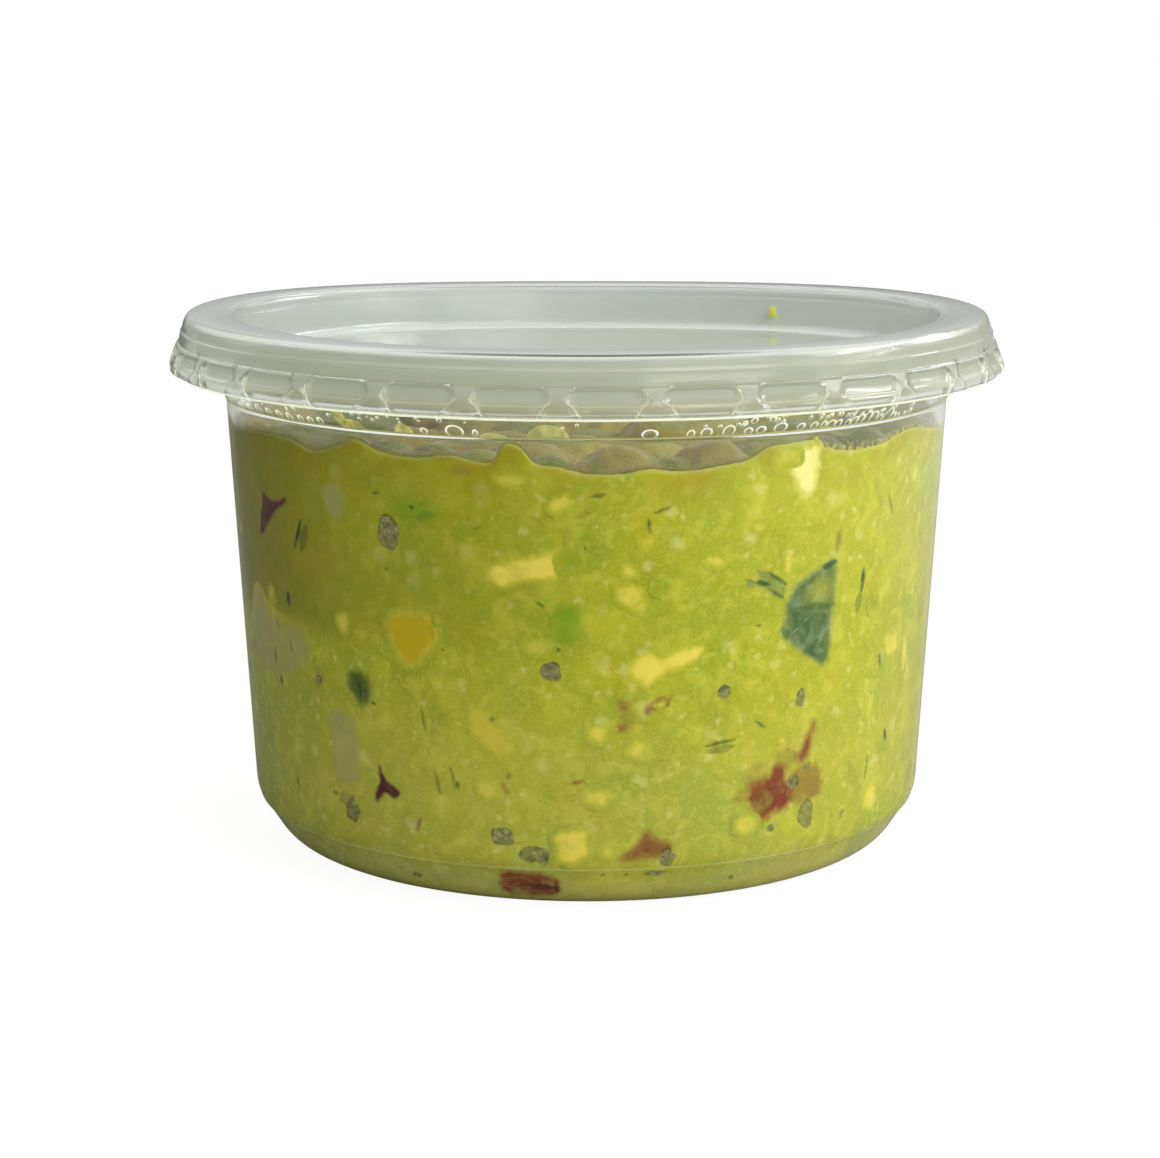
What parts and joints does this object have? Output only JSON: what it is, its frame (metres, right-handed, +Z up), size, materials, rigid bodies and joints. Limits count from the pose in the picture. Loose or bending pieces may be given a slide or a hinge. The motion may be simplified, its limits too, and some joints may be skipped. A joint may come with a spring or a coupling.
{
  "type": "tub of guacamole",
  "caption": "Shut round clear deli tub with a press-on lid, filled with chunky guacamole that shows pieces of tomato, onion, avocado, chilli and herb through the wall.",
  "frame": {"origin": "middle of the base, on the surface that the tub stands on", "axes": "+Z up, -Y to the front, +X to the right"},
  "size_m": [0.117, 0.1168, 0.0747],
  "materials": {
    "cup_plastic": "clear gloss",
    "lid_plastic": "slightly cloudy clear gloss",
    "guacamole": "wet, creamy and speckled",
    "tomato": "wet",
    "red_onion": "wet",
    "white_onion": "wet, a little see-through",
    "avocado": "soft",
    "herb": "leaf",
    "chilli": "wet"
  },
  "bodies": {
    "root": {"cup": "cup_plastic", "lid": "lid_plastic", "guacamole": "guacamole", "cilantro_leaf": "herb", "cilantro_sprig": "herb", "tomato_right": "tomato", "tomato_foot": "tomato", "tomato_low": "tomato", "tomato_strip": "tomato", "onion_block": "white_onion", "onion_left": "white_onion", "onion_upper": "white_onion", "avocado_long": "avocado", "avocado_middle": "avocado", "avocado_left": "avocado", "avocado_low": "avocado", "avocado_right": "avocado", "avocado_upper": "avocado", "chilli_front": "chilli", "chilli_upper": "chilli", "red_onion_left": "red_onion", "red_onion_low": "red_onion", "herb_left": "herb", "tomato_round_1": "tomato", "avocado_round_2": "avocado", "herb_round_3": "herb", "white_onion_round_4": "white_onion", "avocado_round_5": "avocado", "red_onion_round_6": "red_onion", "tomato_round_7": "tomato", "avocado_round_8": "avocado", "chilli_round_9": "chilli", "white_onion_round_10": "white_onion", "tomato_round_11": "tomato", "avocado_round_12": "avocado", "herb_round_13": "herb", "avocado_round_14": "avocado", "tomato_top_front": "tomato", "tomato_top_left": "tomato", "tomato_top_back": "tomato", "onion_top": "white_onion", "avocado_top": "avocado", "avocado_top_back": "avocado"}
  },
  "joints": []
}
